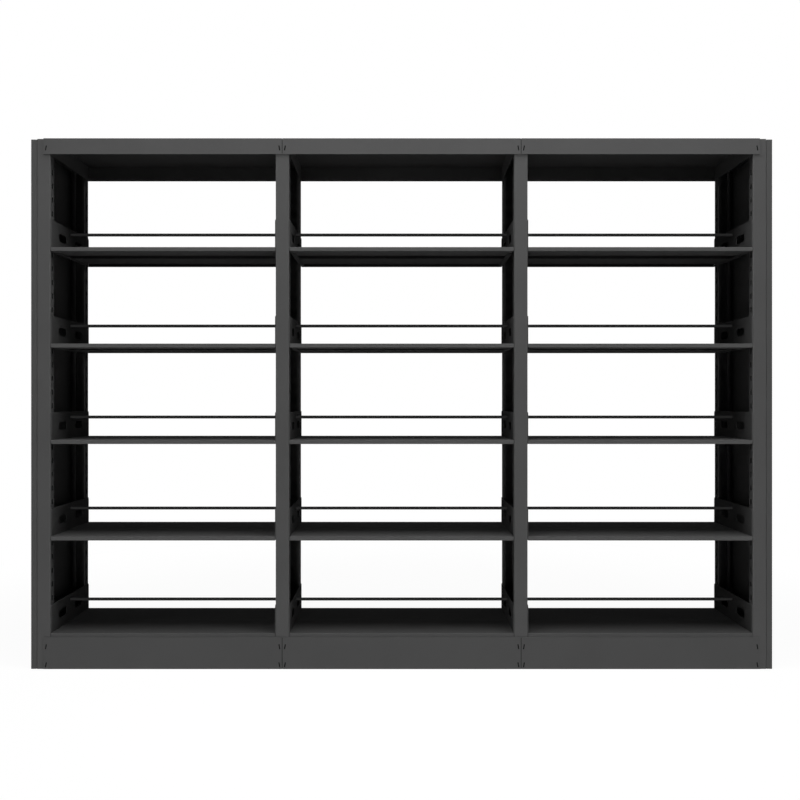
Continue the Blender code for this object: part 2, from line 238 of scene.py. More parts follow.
def start_tree(name, sizes):
    """Start a node tree that grows a piece from a seed mesh and named sizes."""
    tree = bpy.data.node_groups.new(name, "GeometryNodeTree")
    tree.interface.new_socket("Seed", in_out="INPUT", socket_type="NodeSocketGeometry")
    for label, kind in sizes.items():
        tree.interface.new_socket(label, in_out="INPUT", socket_type="NodeSocket" + kind)
    tree.interface.new_socket("Piece", in_out="OUTPUT", socket_type="NodeSocketGeometry")
    return tree, tree.nodes.new("NodeGroupInput").outputs


def add(tree, kind, inputs, **settings):
    """Add a node, set its options, and give each input a value or another node's output."""
    node = tree.nodes.new(kind)
    for option, value in settings.items():
        setattr(node, option, value)
    for label, value in inputs.items():
        if isinstance(value, bpy.types.NodeSocket):
            tree.links.new(value, node.inputs[label])
        else:
            node.inputs[label].default_value = value
    return node.outputs


def end_tree(tree, geometry):
    """Lead a geometry to the tree's output."""
    output = tree.nodes.new("NodeGroupOutput")
    tree.links.new(geometry, output.inputs["Piece"])
    return tree


def realized(tree, geometry):
    """Turn instances into real geometry."""
    return add(tree, "GeometryNodeRealizeInstances", {"Geometry": geometry})[0]


def paint_and_end(tree, geometry, paint):
    """End a tree with real geometry in place of instances, and its paint."""
    real = realized(tree, geometry)
    painted = add(tree, "GeometryNodeSetMaterial", {"Geometry": real, "Material": paint})[0]
    return end_tree(tree, painted)


def reckoned(tree, operation, first, second):
    """Work a number out from two others."""
    return add(tree, "ShaderNodeMath", {0: first, 1: second}, operation=operation)[0]


def upward(tree, height):
    """Make a height into a place straight above the origin."""
    return add(tree, "ShaderNodeCombineXYZ", {"Z": height})[0]


def placed(tree, geometry, place=(0, 0, 0), turn=(0, 0, 0)):
    """Move and turn a geometry."""
    moves = {"Geometry": geometry, "Translation": place, "Rotation": turn}
    return add(tree, "GeometryNodeTransform", moves)[0]


def joined(tree, *parts):
    """Join geometries."""
    join = tree.nodes.new("GeometryNodeJoinGeometry")
    for part in parts:
        tree.links.new(part, join.inputs["Geometry"])
    return join.outputs[0]


def copies_on_line(tree, part, count, first, step):
    """Repeat a geometry along a line of points."""
    points = {"Count": count, "Start Location": first, "Offset": step}
    line = add(tree, "GeometryNodeMeshLine", points, mode="OFFSET")[0]
    return add(tree, "GeometryNodeInstanceOnPoints", {"Points": line, "Instance": part})[0]


def cut(tree, sheet, tool, operation="DIFFERENCE"):
    """Cut a sheet with a tool, and mark the new rims so that they get eased."""
    boolean = tree.nodes.new("GeometryNodeMeshBoolean")
    boolean.operation = operation
    boolean.solver = "EXACT"
    tree.links.new(sheet, boolean.inputs["Mesh 1" if operation == "DIFFERENCE" else "Mesh 2"])
    tree.links.new(tool, boolean.inputs["Mesh 2"])
    marks = {"Geometry": boolean.outputs["Mesh"], "Selection": boolean.outputs["Intersecting Edges"],
             "Name": "bevel_weight_edge", "Value": 1.0}
    return add(tree, "GeometryNodeStoreNamedAttribute", marks, data_type="FLOAT", domain="EDGE")[0]


def sheet_of(tree, folded_sheet, line, gauge, run, bend):
    """Use the folded-sheet tree inside another tree."""
    sizes = {"Seed": line, "Gauge": gauge, "Run": run, "Bend": bend}
    return add(tree, "GeometryNodeGroup", sizes, node_tree=folded_sheet)["Piece"]


def punch_of(tree, punch, width, height, depth, corner, steps):
    """Use the punch tree inside another tree."""
    sizes = {"Width": width, "Height": height, "Depth": depth, "Corner": corner, "Corner steps": steps}
    return add(tree, "GeometryNodeGroup", sizes, node_tree=punch)["Piece"]


# Node trees of the sheet-metal forms

def folded_sheet_tree():
    """A strip of sheet folded along its seed line, which lies level. The strip's run stands along Z."""
    tree, sizes = start_tree("folded_sheet", {"Gauge": "Float", "Run": "Float", "Bend": "Float"})
    line = add(tree, "GeometryNodeMeshToCurve", {"Mesh": sizes["Seed"]})[0]
    level = add(tree, "GeometryNodeSetCurveNormal", {"Curve": line}, mode="Z_UP")[0]
    folds = {"Curve": level, "Count": BEND_STEPS, "Radius": sizes["Bend"], "Limit Radius": True}
    bent = add(tree, "GeometryNodeFilletCurve", folds, mode="POLY")[0]
    section = {"Width": sizes["Gauge"], "Height": sizes["Run"]}
    square = add(tree, "GeometryNodeCurvePrimitiveQuadrilateral", section, mode="RECTANGLE")[0]
    edge = {"Curve": square, "Count": CUT_EDGE_STEPS, "Radius": CUT_EDGE, "Limit Radius": True}
    rounded = add(tree, "GeometryNodeFilletCurve", edge, mode="POLY")[0]
    sweep = {"Curve": bent, "Profile Curve": rounded, "Fill Caps": True}
    return end_tree(tree, add(tree, "GeometryNodeCurveToMesh", sweep)[0])


def punch_tree():
    """A punch: a rounded rectangle, Width along X and Height along Y, drawn out along Z."""
    tree, sizes = start_tree("punch", {"Width": "Float", "Height": "Float", "Depth": "Float",
                                       "Corner": "Float", "Corner steps": "Int"})
    size = {"Width": sizes["Width"], "Height": sizes["Height"]}
    square = add(tree, "GeometryNodeCurvePrimitiveQuadrilateral", size, mode="RECTANGLE")[0]
    corner = {"Curve": square, "Count": sizes["Corner steps"], "Radius": sizes["Corner"],
              "Limit Radius": True}
    rounded = add(tree, "GeometryNodeFilletCurve", corner, mode="POLY")[0]
    top = upward(tree, reckoned(tree, "MULTIPLY", sizes["Depth"], 0.5))
    bottom = add(tree, "ShaderNodeVectorMath", {0: top, "Scale": -1.0}, operation="SCALE")[0]
    path = add(tree, "GeometryNodeCurvePrimitiveLine", {"Start": bottom, "End": top}, mode="POINTS")[0]
    sweep = {"Curve": path, "Profile Curve": rounded, "Fill Caps": True}
    return end_tree(tree, add(tree, "GeometryNodeCurveToMesh", sweep)[0])


def shelf_board_tree(folded_sheet):
    """A shelf board, its section's origin at the front top edge, moved to its place."""
    tree, sizes = start_tree("shelf_board", {"Run": "Float", "Place": "Vector", "Paint": "Material"})
    sheet = sheet_of(tree, folded_sheet, sizes["Seed"], SHEET, sizes["Run"], SHEET_BEND)
    return paint_and_end(tree, placed(tree, sheet, sizes["Place"], ALONG_X), sizes["Paint"])


def slotted_column_tree(folded_sheet, punch):
    """A column with its face at Y = 0: a channel with punched slots, between a foot plate and a cap."""
    tree, sizes = start_tree("slotted_column", {"Height": "Float", "Slots": "Int", "First slot": "Vector",
                                                "Slot step": "Vector", "Punch reach": "Float",
                                                "Paint": "Material"})
    channel = sheet_of(tree, folded_sheet, sizes["Seed"], COLUMN_WALL, sizes["Height"], COLUMN_BEND)
    half = reckoned(tree, "MULTIPLY", sizes["Height"], 0.5)
    standing = placed(tree, channel, upward(tree, reckoned(tree, "ADD", half, FOOT_PLATE)))
    slot = punch_of(tree, punch, SLOT_WIDTH, SLOT_HEIGHT, sizes["Punch reach"], SLOT_CORNER,
                    SLOT_CORNER_STEPS)
    row = copies_on_line(tree, placed(tree, slot, turn=ALONG_X), sizes["Slots"], sizes["First slot"],
                         sizes["Slot step"])
    punched = cut(tree, standing, realized(tree, row))
    plate = punch_of(tree, punch, COLUMN_WIDTH - 2 * FOOT_INSET, COLUMN_DEPTH - 2 * FOOT_INSET, FOOT_PLATE,
                     FOOT_CORNER, FOOT_CORNER_STEPS)
    foot = placed(tree, plate, (0, COLUMN_DEPTH / 2, FOOT_PLATE / 2))
    cap = placed(tree, foot, upward(tree, reckoned(tree, "ADD", sizes["Height"], FOOT_PLATE)))
    return paint_and_end(tree, joined(tree, punched, foot, cap), sizes["Paint"])


def slit_punches(tree, punch, reach, rows, first, step):
    """Punches for the slanted slits at both ends of a panel, in one or more rows."""
    slit = punch_of(tree, punch, SLIT_WIDTH, SLIT_LENGTH, reach, SLIT_CORNER, SLIT_CORNER_STEPS)
    from_middle = BAY_PITCH / 2 - SLIT_FROM_JOINT
    left = placed(tree, slit, (-from_middle, 0, 0), (math.pi / 2, SLIT_LEAN, 0))
    right = placed(tree, slit, (from_middle, 0, 0), (math.pi / 2, -SLIT_LEAN, 0))
    return realized(tree, copies_on_line(tree, joined(tree, left, right), rows, first, step))


def top_panel_tree(folded_sheet, punch):
    """A top panel: a tray folded down in front and behind, slit at its ends, with a flange inside each."""
    tree, sizes = start_tree("top_panel", {"Run": "Float", "Slit height": "Float", "Paint": "Material"})
    tray = sheet_of(tree, folded_sheet, sizes["Seed"], SHEET, sizes["Run"], SHEET_BEND)
    slits = slit_punches(tree, punch, TOP_SLIT_REACH, 1, upward(tree, sizes["Slit height"]), (0, 0, 0))
    slitted = cut(tree, placed(tree, tray, turn=ALONG_X), slits)
    drop = RACK_TOP - SHEET - TOP_LIP_BOTTOM
    flange = punch_of(tree, punch, 2 * BRACKET_REACH, drop, SHEET, CUT_EDGE, CUT_EDGE_STEPS)
    from_middle = HALF_CLEAR - SEAT_GAP - SHEET / 2
    height = TOP_LIP_BOTTOM + drop / 2
    left = placed(tree, flange, (-from_middle, 0, height), ALONG_X)
    right = placed(tree, flange, (from_middle, 0, height), ALONG_X)
    return paint_and_end(tree, joined(tree, slitted, left, right), sizes["Paint"])


def skirt_tree(folded_sheet, punch):
    """A base skirt, slit at its ends, with a ledge up to the bottom board, notched at the columns."""
    tree, sizes = start_tree("skirt", {"Run": "Float", "Slit rows": "Int", "First slit": "Vector",
                                       "Slit step": "Vector", "Paint": "Material"})
    strip = sheet_of(tree, folded_sheet, sizes["Seed"], SHEET, sizes["Run"], SHEET_BEND)
    slits = slit_punches(tree, punch, SKIRT_SLIT_REACH, sizes["Slit rows"], sizes["First slit"],
                         sizes["Slit step"])
    notch = punch_of(tree, punch, NOTCH_WIDTH, COLUMN_DEPTH, NOTCH_REACH, CUT_EDGE, CUT_EDGE_STEPS)
    behind = COLUMN_DEPTH / 2 - COLUMN_FACE - SEAT_GAP
    left = placed(tree, notch, (-BAY_PITCH / 2, behind, SKIRT_TOP))
    right = placed(tree, notch, (BAY_PITCH / 2, behind, SKIRT_TOP))
    skirt = cut(tree, placed(tree, strip, turn=ALONG_X), joined(tree, slits, left, right))
    return paint_and_end(tree, skirt, sizes["Paint"])


def bracket_tree(folded_sheet, punch):
    """A bay level's two brackets: plates with rounded corners, two long holes and a short flange each."""
    tree, sizes = start_tree("bracket_pair", {"Reach": "Float", "Top": "Float", "Corner": "Float",
                                              "Hole spacing": "Vector", "Paint": "Material"})
    width = reckoned(tree, "MULTIPLY", sizes["Reach"], 2.0)
    run = reckoned(tree, "ADD", width, 2 * TRIM)
    plate = sheet_of(tree, folded_sheet, sizes["Seed"], BRACKET_SHEET, run, BRACKET_BEND)
    outline = punch_of(tree, punch, width, OUTLINE_HEIGHT, OUTLINE_REACH, sizes["Corner"],
                       BRACKET_CORNER_STEPS)
    outline_middle = reckoned(tree, "SUBTRACT", sizes["Top"], OUTLINE_HEIGHT / 2)
    blank = placed(tree, outline, upward(tree, outline_middle), ALONG_X)
    trimmed = cut(tree, placed(tree, plate, turn=ALONG_Y), blank, "INTERSECT")
    hole = punch_of(tree, punch, HOLE_LENGTH, HOLE_HEIGHT, HOLE_REACH, HOLE_HEIGHT / 2, HOLE_CORNER_STEPS)
    first_hole = (-BRACKET_MIDDLE, -HOLE_SPACING / 2, HOLE_ABOVE_DECK)
    holes = copies_on_line(tree, placed(tree, hole, turn=ALONG_X), 2, first_hole, sizes["Hole spacing"])
    end_cut = punch_of(tree, punch, FLANGE_CUT_WIDTH, 2 * FLANGE_CUT_BACK, FLANGE_CUT_HEIGHT, CUT_EDGE,
                       CUT_EDGE_STEPS)
    cut_middle = FLANGE_CUT_TOP - FLANGE_CUT_HEIGHT / 2
    near = placed(tree, end_cut, (-BRACKET_MIDDLE, -BRACKET_REACH, cut_middle))
    far = placed(tree, end_cut, (-BRACKET_MIDDLE, BRACKET_REACH, cut_middle))
    left = cut(tree, trimmed, joined(tree, realized(tree, holes), near, far))
    return paint_and_end(tree, joined(tree, left, placed(tree, left, turn=HALF_TURN)), sizes["Paint"])


def hook_tree(folded_sheet):
    """The hooks of a bay level's two brackets, two at each end of each."""
    tree, sizes = start_tree("bracket_hooks", {"Width": "Float", "Ends": "Vector", "Rows": "Vector",
                                               "First": "Vector", "Paint": "Material"})
    hook = sheet_of(tree, folded_sheet, sizes["Seed"], BRACKET_SHEET, sizes["Width"], HOOK_BEND)
    pair = copies_on_line(tree, placed(tree, hook, turn=ALONG_Y), 2, (0, 0, 0), sizes["Rows"])
    left = copies_on_line(tree, pair, 2, sizes["First"], sizes["Ends"])
    return paint_and_end(tree, joined(tree, left, placed(tree, left, turn=HALF_TURN)), sizes["Paint"])


def stop_rod_tree():
    """A round stop rod along its seed line."""
    tree, sizes = start_tree("stop_rod", {"Radius": "Float", "Paint": "Material"})
    line = add(tree, "GeometryNodeMeshToCurve", {"Mesh": sizes["Seed"]})[0]
    size = {"Resolution": ROD_SIDES, "Radius": sizes["Radius"]}
    circle = add(tree, "GeometryNodeCurvePrimitiveCircle", size, mode="RADIUS")[0]
    sweep = {"Curve": line, "Profile Curve": circle, "Fill Caps": True}
    return paint_and_end(tree, add(tree, "GeometryNodeCurveToMesh", sweep)[0], sizes["Paint"])


def small_plate_tree(punch):
    """Small plates such as tongues, the plates of painted shade behind the joints, and strips: one at each
    seed point, leaning as the point says.
    """
    tree, sizes = start_tree("small_plates", {"Length": "Float", "Width": "Float", "Depth": "Float",
                                              "Paint": "Material"})
    plate = punch_of(tree, punch, sizes["Width"], sizes["Length"], sizes["Depth"], SLIT_CORNER,
                     SLIT_CORNER_STEPS)
    lean = add(tree, "GeometryNodeInputNamedAttribute", {"Name": "lean"}, data_type="FLOAT")[0]
    angles = add(tree, "ShaderNodeCombineXYZ", {"X": math.pi / 2, "Y": lean})[0]
    turn = add(tree, "FunctionNodeEulerToRotation", {"Euler": angles})[0]
    spread = {"Points": sizes["Seed"], "Instance": plate, "Rotation": turn}
    return paint_and_end(tree, add(tree, "GeometryNodeInstanceOnPoints", spread)[0], sizes["Paint"])


def copies_tree():
    """Copies of a piece across the bays and up the levels, and turned to the rack's other face if asked."""
    tree, sizes = start_tree("copies", {"First": "Vector", "Across": "Int", "Bay step": "Vector", "Up": "Int",
                                        "Level step": "Vector", "Both faces": "Bool", "Paint": "Material"})
    stack = copies_on_line(tree, sizes["Seed"], sizes["Up"], (0, 0, 0), sizes["Level step"])
    face = copies_on_line(tree, stack, sizes["Across"], sizes["First"], sizes["Bay step"])
    both = joined(tree, face, placed(tree, face, turn=HALF_TURN))
    choice = {"Switch": sizes["Both faces"], "False": face, "True": both}
    chosen = add(tree, "GeometryNodeSwitch", choice, input_type="GEOMETRY")[0]
    return paint_and_end(tree, chosen, sizes["Paint"])


def rack_trees():
    """Return the trees of all pieces by name."""
    folded_sheet = folded_sheet_tree()
    punch = punch_tree()
    return {"shelf_board": shelf_board_tree(folded_sheet),
            "slotted_column": slotted_column_tree(folded_sheet, punch),
            "top_panel": top_panel_tree(folded_sheet, punch),
            "skirt": skirt_tree(folded_sheet, punch),
            "bracket_pair": bracket_tree(folded_sheet, punch),
            "bracket_hooks": hook_tree(folded_sheet),
            "stop_rod": stop_rod_tree(),
            "small_plates": small_plate_tree(punch),
            "copies": copies_tree()}


# Seeds, and the pieces that grow from them

def line_mesh(points):
    """Return a mesh of one open line through points in a level plane."""
    mesh = bpy.data.meshes.new("line")
    mesh.from_pydata([(x, y, 0) for x, y in points], [(i, i + 1) for i in range(len(points) - 1)], [])
    return mesh


def points_mesh(places):
    """Return a mesh of loose points from places of X, Y, Z and lean, with the lean as an attribute."""
    mesh = bpy.data.meshes.new("places")
    mesh.from_pydata([place[:3] for place in places], [], [])
    leans = [place[3] for place in places]
    mesh.attributes.new("lean", "FLOAT", "POINT").data.foreach_set("value", leans)
    return mesh


def finished(name, mesh, add_modifiers):
    """Return the plain mesh that comes of a mesh under the modifiers that a function adds."""
    worker = bpy.data.objects.new(name, mesh)
    bpy.context.scene.collection.objects.link(worker)
    add_modifiers(worker.modifiers)
    graph = bpy.context.evaluated_depsgraph_get()
    plain = bpy.data.meshes.new_from_object(worker.evaluated_get(graph))
    bpy.data.objects.remove(worker)
    plain.name = name
    return plain


def grown(name, seed, tree, **sizes):
    """Return the plain mesh that a tree grows from a seed mesh. Sizes take the tree's own input names."""
    def add_tree(modifiers):
        grower = modifiers.new("tree", "NODES")
        grower.node_group = tree
        for socket in tree.interface.items_tree:
            word = socket.name.replace(" ", "_").lower()
            if socket.in_out == "INPUT" and word in sizes:
                grower[socket.identifier] = sizes[word]

    mesh = finished(name, seed, add_tree)
    mesh.materials.clear()
    mesh.materials.append(sizes["paint"])
    mesh.polygons.foreach_set("material_index", [0] * len(mesh.polygons))
    return mesh


def copied(name, piece, trees, paint, first, across=BAYS, up=1, both_faces=False):
    """Return copies of a piece across the bays and up the levels, and on both faces if asked."""
    return grown(name, piece, trees["copies"], first=first, across=across, bay_step=(BAY_PITCH, 0, 0), up=up,
                 level_step=(0, 0, LEVEL_PITCH), both_faces=both_faces, paint=paint)


def eased(mesh):
    """Return the mesh with its cut rims eased and its folds shaded round between flat faces."""
    mesh.shade_smooth()
    mesh.set_sharp_from_angle(angle=SHARP_TURN)

    def add_easing(modifiers):
        ease = modifiers.new("ease", "BEVEL")
        ease.limit_method = "WEIGHT"
        ease.width = RIM_EASE
        ease.segments = 1
        ease.use_clamp_overlap = False
        flats = modifiers.new("flats", "WEIGHTED_NORMAL")
        flats.keep_sharp = True

    return finished(mesh.name, mesh, add_easing)


def show(name, mesh, body, nodes):
    """Put a finished piece in the scene, riding a body in place of the nodes that it stands for."""
    piece = bpy.data.objects.new(name, mesh)
    bpy.context.scene.collection.objects.link(piece)
    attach(piece, body)
    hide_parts(*nodes)


# Finishes

def noise(tree, place, scale, detail):
    """Add a noise of a given scale to a finish."""
    return add(tree, "ShaderNodeTexNoise", {"Vector": place, "Scale": scale, "Detail": detail})["Fac"]


def varied(tree, pattern, pattern_range, level, shift):
    """Let a value vary about a level, by a shift either way, over the range that a noise mostly keeps to."""
    low, high = pattern_range
    ends = {"Value": pattern, "From Min": low, "From Max": high, "To Min": level - shift,
            "To Max": level + shift}
    return add(tree, "ShaderNodeMapRange", ends)[0]


def powder_coat(name, grey):
    """Return a near-matt charcoal powder coat: fine speckle, orange-peel relief and faint clouding."""
    coat = bpy.data.materials.new(name)
    coat.use_nodes = True
    tree = coat.node_tree
    shader = tree.nodes["Principled BSDF"]
    shader.inputs["Metallic"].default_value = 0.0
    shader.inputs["Specular IOR Level"].default_value = COAT_SPECULAR
    place = add(tree, "ShaderNodeTexCoord", {})["Object"]
    clouds = noise(tree, place, CLOUD_SCALE, CLOUD_DETAIL)
    speckle = noise(tree, place, SPECKLE_SCALE, SPECKLE_DETAIL)
    peel = noise(tree, place, PEEL_SCALE, PEEL_DETAIL)
    clouded = varied(tree, clouds, CLOUD_RANGE, grey, CLOUD_SHIFT * grey)
    grain = varied(tree, speckle, SPECKLE_RANGE, 1.0, SPECKLE_SHIFT)
    level = reckoned(tree, "MULTIPLY", clouded, grain)
    tone = add(tree, "ShaderNodeCombineColor", {"Red": level, "Green": level, "Blue": level})[0]
    roughness = varied(tree, clouds, CLOUD_RANGE, COAT_ROUGHNESS, ROUGHNESS_SHIFT)
    depth = {"Height": peel, "Strength": PEEL_STRENGTH, "Distance": PEEL_HEIGHT}
    relief = add(tree, "ShaderNodeBump", depth)[0]
    tree.links.new(tone, shader.inputs["Base Color"])
    tree.links.new(roughness, shader.inputs["Roughness"])
    tree.links.new(relief, shader.inputs["Normal"])
    return coat


# Sections of the folded pieces

def column_section():
    """Return the centre line of a column's section: face, side walls and return lips."""
    half = COLUMN_WIDTH / 2 - COLUMN_WALL / 2
    near = COLUMN_WALL / 2
    far = COLUMN_DEPTH - COLUMN_WALL / 2
    lip = COLUMN_WIDTH / 2 - COLUMN_LIP
    return [(-lip, far), (-half, far), (-half, near), (half, near), (half, far), (lip, far)]


def board_section():
    """Return the centre line of a board's section, its front top edge at the origin."""
    near = SHEET / 2
    far = BOARD_DEPTH - SHEET / 2
    top = -SHEET / 2
    bottom = SHEET / 2 - BOARD_LIP
    return [(FRONT_RETURN, bottom), (near, bottom), (near, top), (far, top), (far, bottom),
            (BOARD_DEPTH - REAR_RETURN, bottom)]


def top_section():
    """Return the centre line of a top panel's section."""
    face = PANEL_FACE - SHEET / 2
    deck = RACK_TOP - SHEET / 2
    return [(-face, TOP_LIP_BOTTOM), (-face, deck), (face, deck), (face, TOP_LIP_BOTTOM)]


def skirt_section():
    """Return the centre line of a front skirt's section."""
    face = SHEET / 2 - PANEL_FACE
    top = SKIRT_TOP - SHEET / 2
    return [(face, SKIRT_BOTTOM), (face, top), (BOARD_LOW.y + SHEET / 2, top)]


def bracket_section():
    """Return the centre line of a left bracket's section, from above its plate to its flange's edge."""
    return [(-BRACKET_MIDDLE, BRACKET_ABOVE_DECK + TRIM), (-BRACKET_MIDDLE, FLANGE_MIDDLE),
            (-FLANGE_EDGE, FLANGE_MIDDLE)]


def hook_section():
    """Return the centre line of a left hook: out through a column's slot and down behind its wall."""
    tip = HALF_CLEAR + COLUMN_WALL + HOOK_WALL_GAP + BRACKET_SHEET / 2
    neck = SLOT_ABOVE_DECK - SLOT_HEIGHT / 2 + SEAT_GAP + BRACKET_SHEET / 2
    return [(-BRACKET_MIDDLE, neck), (-tip, neck), (-tip, neck - HOOK_DROP - BRACKET_SHEET / 2)]


# Pieces of the rack

def build_columns(trees, paint):
    """Build the columns in three kinds: slotted on the right, on the left, and on both sides."""
    half = COLUMN_WIDTH / 2
    kinds = {
        "left_end_columns": {"nodes": ("front_column_1", "rear_column_4"),
                             "first": FIRST_FRAME, "across": 1,
                             "punch_at": half, "punch_reach": half},
        "right_end_columns": {"nodes": ("front_column_4", "rear_column_1"),
                              "first": -FIRST_FRAME, "across": 1,
                              "punch_at": -half, "punch_reach": half},
        "middle_columns": {"nodes": ("front_column_2", "front_column_3", "rear_column_2", "rear_column_3"),
                           "first": FIRST_FRAME + BAY_PITCH, "across": BAYS - 1,
                           "punch_at": 0, "punch_reach": 2 * COLUMN_WIDTH}}
    for name, kind in kinds.items():
        first_slot = (kind["punch_at"], SLOT_BEHIND_FACE, BASE_DECK + SLOT_ABOVE_DECK)
        column = grown(name, line_mesh(column_section()), trees["slotted_column"],
                       height=COLUMN_HIGH.z - 2 * FOOT_PLATE, slots=SLOT_COUNT, first_slot=first_slot,
                       slot_step=(0, 0, SLOT_PITCH), punch_reach=kind["punch_reach"], paint=paint)
        row = copied(name, column, trees, paint, (kind["first"], -COLUMN_FACE, 0), across=kind["across"],
                     both_faces=True)
        show(name, eased(row), "rack", kind["nodes"])


def panel_ends(from_joint):
    """Return the X of a place beside each panel end, with -1 for a left end and 1 for a right end."""
    return [(FIRST_BAY + bay * BAY_PITCH + end * (BAY_PITCH / 2 - from_joint), end)
            for bay in range(BAYS) for end in (-1, 1)]


def build_tongues(trees, paint):
    """Build the tongues that stand in the slits of the panels, on the columns' faces; their near-black paint
    is painted shade in the slits.
    """
    heights = SKIRT_SLIT_HEIGHTS + (TOP_SLIT_HEIGHT,)
    outer = PANEL_FACE - TONGUE_RECESS
    inner = COLUMN_FACE - COLUMN_WALL / 2
    places = [(x, face * (outer + inner) / 2, height, -end * SLIT_LEAN)
              for x, end in panel_ends(SLIT_FROM_JOINT) for height in heights for face in FACES]
    tongues = grown("tongues", points_mesh(places), trees["small_plates"], length=SLIT_LENGTH - 2 * SEAT_GAP,
                    width=SLIT_WIDTH - 2 * SEAT_GAP, depth=outer - inner, paint=paint)
    show("panel_tongues", eased(tongues), "rack", nodes_named("_column_"))


def build_joint_shade_plates(trees, paint):
    """Build near-black plates on the columns' faces behind each end of every top panel and skirt: painted
    shade in the joints and behind the tongues.
    """
    spans = {"top_cleats": (TOP_LIP_BOTTOM + SHADE_PLATE_MARGIN, RACK_TOP - SHADE_PLATE_MARGIN),
             "skirt_cleats": (SKIRT_BOTTOM + SHADE_PLATE_MARGIN, SKIRT_TOP - SHADE_PLATE_MARGIN)}
    for name, (low, high) in spans.items():
        places = [(x, face * (COLUMN_FACE + SHADE_PLATE_SHEET / 2), (low + high) / 2, 0)
                  for x, end in panel_ends(SHADE_PLATE_WIDTH / 2) for face in FACES]
        painted_shade_plates = grown(name, points_mesh(places), trees["small_plates"], length=high - low, width=SHADE_PLATE_WIDTH,
                       depth=SHADE_PLATE_SHEET, paint=paint)
        show(name, eased(painted_shade_plates), "rack", nodes_named("_column_"))


def build_top_panels(trees, paint):
    """Build the row of top panels, and the strips that close the joints between them from below."""
    nodes = nodes_named("top_panel_")
    panel = grown("top_panel", line_mesh(top_section()), trees["top_panel"], run=PANEL_RUN,
                  slit_height=TOP_SLIT_HEIGHT, paint=paint)
    row = copied("top_panels", panel, trees, paint, (FIRST_BAY, 0, 0))
    show("top_panels", eased(row), "rack", nodes)
    height = RACK_TOP - SHEET - STRIP_SHEET / 2
    places = [(FIRST_FRAME + line * BAY_PITCH, 0, height, 0) for line in range(BAYS + 1)]
    strips = grown("joint_strips", points_mesh(places), trees["small_plates"], length=STRIP_SHEET,
                   width=STRIP_WIDTH, depth=STRIP_LENGTH, paint=paint)
    show("joint_strips", eased(strips), "rack", nodes)


def build_bases(trees, paint):
    """Build the bottom boards and the skirts under them, front and rear."""
    nodes = nodes_named("_base_")
    board = grown("bottom_board", line_mesh(board_section()), trees["shelf_board"], run=BOARD_RUN,
                  place=(0, BOARD_LOW.y, BASE_DECK), paint=paint)
    boards = copied("bottom_boards", board, trees, paint, (FIRST_BAY, 0, 0), both_faces=True)
    show("bottom_boards", eased(boards), "rack", nodes)
    low, high = SKIRT_SLIT_HEIGHTS
    skirt = grown("skirt", line_mesh(skirt_section()), trees["skirt"], run=PANEL_RUN,
                  slit_rows=len(SKIRT_SLIT_HEIGHTS), first_slit=(0, -PANEL_FACE, low),
                  slit_step=(0, 0, high - low), paint=paint)
    skirts = copied("skirts", skirt, trees, paint, (FIRST_BAY, 0, 0), both_faces=True)
    show("skirts", eased(skirts), "rack", nodes)


def build_brackets(trees, paint, rod_shade_darkened_paint):
    """Build the brackets, their hooks and the stop rods at every level of every bay."""
    nodes = nodes_named("brackets_")
    deck = (FIRST_BAY, 0, BASE_DECK)
    pair = grown("bracket_pair", line_mesh(bracket_section()), trees["bracket_pair"], reach=BRACKET_REACH,
                 top=BRACKET_ABOVE_DECK, corner=BRACKET_CORNER, hole_spacing=(0, HOLE_SPACING, 0),
                 paint=paint)
    brackets = copied("brackets", pair, trees, paint, deck, up=LEVELS)
    show("brackets", eased(brackets), "rack", nodes)
    slot_line = COLUMN_FACE - COLUMN_DEPTH / 2
    hooks = grown("bracket_hooks", line_mesh(hook_section()), trees["bracket_hooks"], width=HOOK_WIDTH,
                  ends=(0, 2 * slot_line, 0), rows=(0, 0, SLOT_PITCH), first=(0, -slot_line, 0), paint=paint)
    all_hooks = copied("bracket_hooks", hooks, trees, paint, deck, up=LEVELS)
    show("bracket_hooks", eased(all_hooks), "rack", nodes)
    # The rods' coat is darker than the brackets': painted shade for the boards above keeping light off them
    rod = grown("stop_rod", line_mesh([(-BRACKET_MIDDLE, 0), (BRACKET_MIDDLE, 0)]), trees["stop_rod"],
                radius=ROD_RADIUS, paint=rod_shade_darkened_paint)
    rods = copied("stop_rods", rod, trees, rod_shade_darkened_paint, (FIRST_BAY, 0, BASE_DECK + ROD_ABOVE_DECK), up=LEVELS)
    show("stop_rods", eased(rods), "rack", nodes)


def build_shelf_boards(trees, paint):
    """Build every loose shelf board, each on its own body."""
    for node in nodes_named("_shelf_"):
        low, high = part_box(node)
        board = grown(node, line_mesh(board_section()), trees["shelf_board"], run=BOARD_RUN,
                      place=((low.x + high.x) / 2, low.y, high.z), paint=paint)
        show(node + "_sheet", eased(board), node, [node])


def end_panel_skin(node, inward, paint):
    """Return an end panel's outer skin: a plate folded over all round to a flange on the rack's side."""
    low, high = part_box(node)
    outer, inner = (low.x, high.x) if inward > 0 else (high.x, low.x)
    bm = bmesh.new()
    rings = []
    for x, inset in ((outer, 0), (inner, 0), (inner, END_FLANGE)):
        corners = [(low.y + inset, low.z + inset), (high.y - inset, low.z + inset),
                   (high.y - inset, high.z - inset), (low.y + inset, high.z - inset)]
        rings.append([bm.verts.new((x, y, z)) for y, z in corners])
    plate = bm.faces.new(rings[0])
    for ring, after in zip(rings, rings[1:]):
        for i in range(4):
            j = (i + 1) % 4
            bm.faces.new((ring[i], ring[j], after[j], after[i]))
    bmesh.ops.recalc_face_normals(bm, faces=bm.faces)
    if inward * plate.normal.x > 0:
        bmesh.ops.reverse_faces(bm, faces=bm.faces)
    folds = [edge for edge in bm.edges
             if len(edge.link_faces) == 2 and edge.calc_face_angle() > FOLD_LEAST_TURN]
    bmesh.ops.bevel(bm, geom=folds, offset=END_BEND, segments=BEND_STEPS, profile=0.5, affect="EDGES")
    skin = bpy.data.meshes.new(node)
    bm.to_mesh(skin)
    bm.free()
    skin.materials.append(paint)
    return skin


